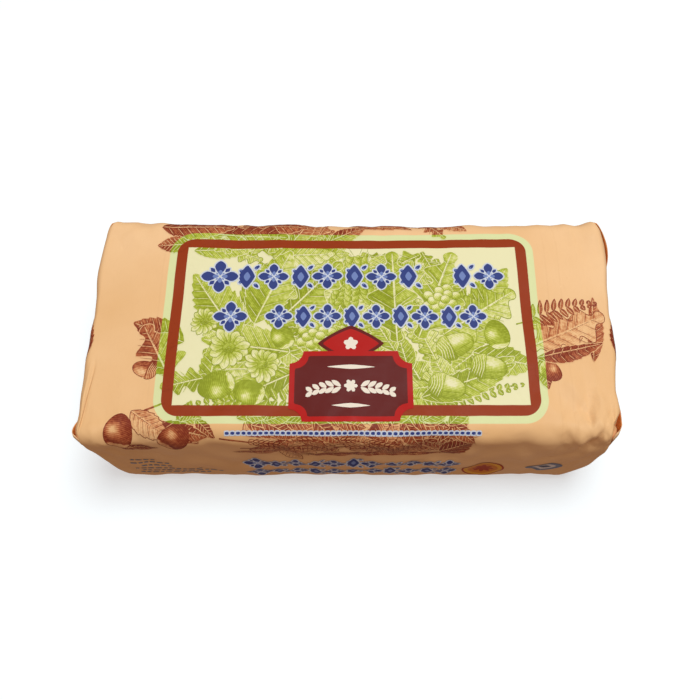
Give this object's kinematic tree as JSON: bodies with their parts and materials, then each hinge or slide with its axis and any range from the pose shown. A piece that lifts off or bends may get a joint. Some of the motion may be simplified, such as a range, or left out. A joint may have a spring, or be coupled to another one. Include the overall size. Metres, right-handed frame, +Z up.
{
  "type": "paper-wrapped soft cheese block",
  "caption": "Rectangular block of soft washed-rind cheese shut in printed paper, with pointed end folds that stand off as small open pockets.",
  "frame": {"origin": "on the surface that the pack rests on, under the middle of its box", "axes": "+X along the block, +Y from the long side that faces the viewer to the far one, +Z up"},
  "size_m": [0.208, 0.0966, 0.0523],
  "materials": {
    "paper": "coated wrapping paper, pale peach, printed in brown, green and blue, low sheen"
  },
  "bodies": {
    "root": {"wrapped_block": "paper"}
  },
  "joints": []
}
